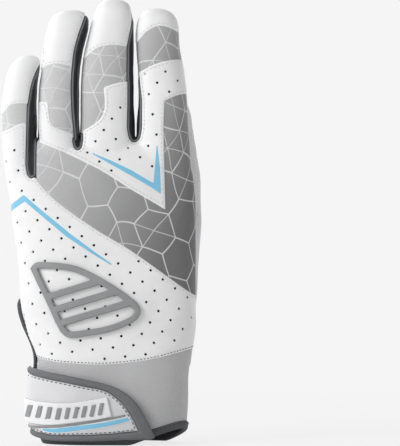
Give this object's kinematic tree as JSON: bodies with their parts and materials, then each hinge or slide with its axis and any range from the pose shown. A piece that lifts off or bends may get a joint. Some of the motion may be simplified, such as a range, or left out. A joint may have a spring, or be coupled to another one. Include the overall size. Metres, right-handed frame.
{
  "type": "batting glove",
  "caption": "Left-hand batting glove with flex panels, side walls between fingers, moulded pad and wrist strap.",
  "frame": {"origin": "centre of the hand opening, in the plane that the cuff's bottom edge stands on", "axes": "+Z along the fingers, +Y out of the palm, -Y out of the back of the hand, +X towards the thumb"},
  "size_m": [0.1089, 0.0551, 0.2433],
  "materials": {
    "white_leather": "smooth white synthetic leather, perforated on the back",
    "palm_leather": "pale grey palm leather embossed with fine wavy rows",
    "smooth_leather": "smooth pale grey leather",
    "flex_fabric": "grey stretch fabric with a printed net of pale lines",
    "side_fabric": "charcoal stretch fabric of the finger side walls",
    "binding": "dark grey folded edge binding",
    "cuff_fabric": "light grey elastic cuff fabric",
    "moulded_rubber": "grey moulded rubber, satin",
    "blue_film": "welded sky blue film",
    "lining": "thin white knit lining",
    "hook_fastener": "moulded hooks",
    "loop_fastener": "brushed loop pile"
  },
  "bodies": {
    "hand": {"back_lining": "lining", "cuff_back": "cuff_fabric", "cuff_binding": "binding", "cuff_palm": "cuff_fabric", "flex_band": "flex_fabric", "index_base_side_wall": "side_fabric", "knuckle_panel": "white_leather", "loop_pad": "loop_fastener", "lower_back_panel": "white_leather", "lower_stripe": "blue_film", "moulded_pad": "moulded_rubber", "palm_leather": "palm_leather", "ring_base_gusset": "side_fabric", "size_label": "lining", "strap_anchor": "binding", "thumb_base_panel": "smooth_leather", "upper_stripe": "blue_film", "vent_binding": "binding", "wrist_elastic": "lining"},
    "index_tip": {"index_tip_back_panel": "white_leather", "index_tip_cap": "white_leather", "index_tip_flex_panel": "flex_fabric", "index_tip_front": "palm_leather", "index_tip_side_wall": "side_fabric"},
    "middle_base": {"middle_base_back_panel": "white_leather", "middle_base_flex_panel": "flex_fabric", "middle_base_front": "palm_leather", "middle_base_side_wall_left": "side_fabric", "middle_base_side_wall_right": "side_fabric"},
    "middle_tip": {"middle_tip_cap": "white_leather", "middle_tip_flex_panel": "flex_fabric", "middle_tip_front": "palm_leather", "middle_tip_side_wall": "side_fabric"},
    "ring_base": {"ring_base_back_panel": "white_leather", "ring_base_flex_panel": "flex_fabric", "ring_base_front": "palm_leather", "ring_base_side_wall_left": "side_fabric", "ring_base_side_wall_right": "side_fabric"},
    "ring_tip": {"ring_tip_cap": "white_leather", "ring_tip_flex_panel": "flex_fabric", "ring_tip_front": "palm_leather", "ring_tip_side_wall": "side_fabric"},
    "pinky_base": {"pinky_base_back_panel": "white_leather", "pinky_base_flex_panel": "flex_fabric", "pinky_base_front": "palm_leather", "pinky_base_side_wall": "side_fabric"},
    "pinky_tip": {"pinky_tip_cap": "white_leather", "pinky_tip_flex_panel": "flex_fabric", "pinky_tip_front": "palm_leather", "pinky_tip_side_wall": "side_fabric"},
    "thumb": {"thumb_front": "palm_leather", "thumb_back": "smooth_leather", "thumb_flex_insert": "flex_fabric"},
    "strap": {"wrist_strap": "cuff_fabric", "strap_binding": "binding", "pull_bar": "moulded_rubber", "strap_stripe": "blue_film", "hook_pad": "hook_fastener"}
  },
  "joints": [
    {"name": "index_middle_knuckle", "type": "hinge", "parent": "hand", "child": "index_tip", "pos_m": [0, 0.00997, 0.19961], "axis": [-1, 0, 0], "range_deg": [0, 80]},
    {"name": "middle_base_knuckle", "type": "hinge", "parent": "hand", "child": "middle_base", "pos_m": [0, 0.0105, 0.16936], "axis": [-1, 0, 0], "range_deg": [0, 80]},
    {"name": "middle_middle_knuckle", "type": "hinge", "parent": "middle_base", "child": "middle_tip", "pos_m": [0, 0.00997, 0.20236], "axis": [-1, 0, 0], "range_deg": [0, 85]},
    {"name": "ring_base_knuckle", "type": "hinge", "parent": "hand", "child": "ring_base", "pos_m": [0, 0.01008, 0.16772], "axis": [-1, 0, 0], "range_deg": [0, 80]},
    {"name": "ring_middle_knuckle", "type": "hinge", "parent": "ring_base", "child": "ring_tip", "pos_m": [0, 0.00976, 0.19301], "axis": [-1, 0, 0], "range_deg": [0, 85]},
    {"name": "pinky_base_knuckle", "type": "hinge", "parent": "hand", "child": "pinky_base", "pos_m": [0, 0.00924, 0.15397], "axis": [-1, 0, 0], "range_deg": [0, 80]},
    {"name": "pinky_middle_knuckle", "type": "hinge", "parent": "pinky_base", "child": "pinky_tip", "pos_m": [0, 0.00903, 0.17761], "axis": [-1, 0, 0], "range_deg": [0, 85]},
    {"name": "thumb_fold", "type": "hinge", "parent": "hand", "child": "thumb", "pos_m": [0, 0.02867, 0.14132], "axis": [-1, 0, 0], "range_deg": [0, 65]},
    {"name": "strap_peel", "type": "hinge", "parent": "hand", "child": "strap", "pos_m": [-0.0417, 0.003, 0.02364], "axis": [0, 0, -1], "range_deg": [0, 120]}
  ]
}
